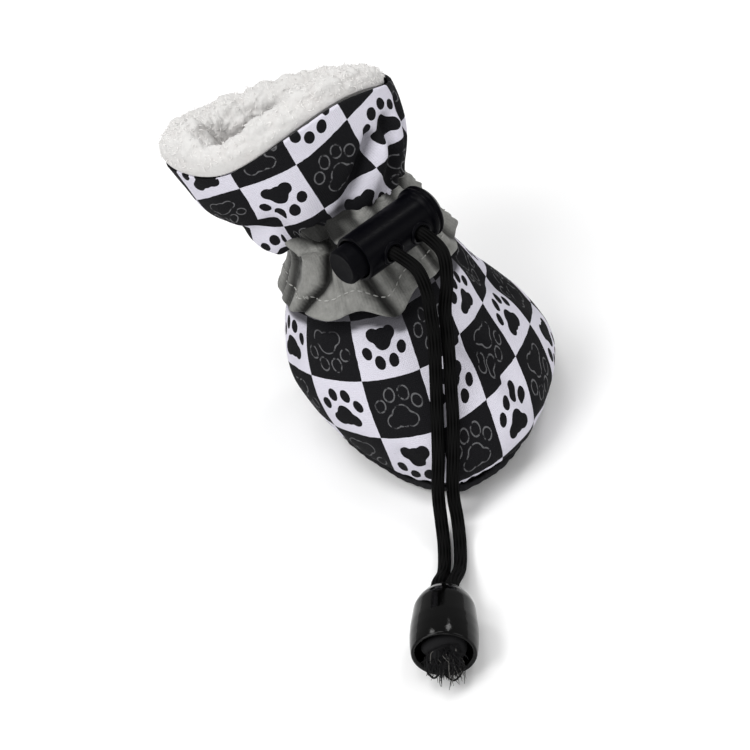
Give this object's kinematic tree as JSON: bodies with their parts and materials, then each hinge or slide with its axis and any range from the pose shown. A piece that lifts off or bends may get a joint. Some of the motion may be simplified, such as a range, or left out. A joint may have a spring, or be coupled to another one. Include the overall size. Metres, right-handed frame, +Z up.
{
  "type": "dog shoe",
  "caption": "Soft hollow dog shoe with a studded textile sole, a gathered neck, a flared fleece-lined collar and a drawstring with a cord lock and a bell-shaped cord end.",
  "frame": {"origin": "on the floor under the middle of the sole, at the flat tip of the middle stud", "axes": "+Z up from the floor, -Y towards the toe, +X to the right for someone who looks at the toe from in front"},
  "size_m": [0.0654, 0.1122, 0.0778],
  "materials": {
    "sole_textile": "ribbed matte with rubber dots",
    "footbed_fleece": "soft matte",
    "upper_fabric": "matte printed polyester, black and white checks",
    "casing_fabric": "slightly shiny grey coated fabric",
    "collar_fleece": "white curly fleece",
    "lock_plastic": "satin black",
    "button_plastic": "satin black",
    "cord_elastic": "braided, slight sheen",
    "bell_plastic": "glossy black",
    "knot_fibre": "frayed fibre"
  },
  "bodies": {
    "shoe": {"outsole": "sole_textile", "insole": "footbed_fleece", "upper": "upper_fabric", "casing": "casing_fabric", "fleece_collar": "collar_fleece", "lock_barrel": "lock_plastic", "drawcord_left": "cord_elastic", "drawcord_right": "cord_elastic", "cord_bell": "bell_plastic", "cord_knot": "knot_fibre"},
    "button": {"lock_button": "button_plastic"}
  },
  "joints": [
    {"name": "button_press", "type": "slide", "parent": "shoe", "child": "button", "axis": [0.8104, 0.5764, -0.1045], "range_m": [0, 0.003], "stiffness_N_per_m": 400, "springref_m": -0.001}
  ]
}
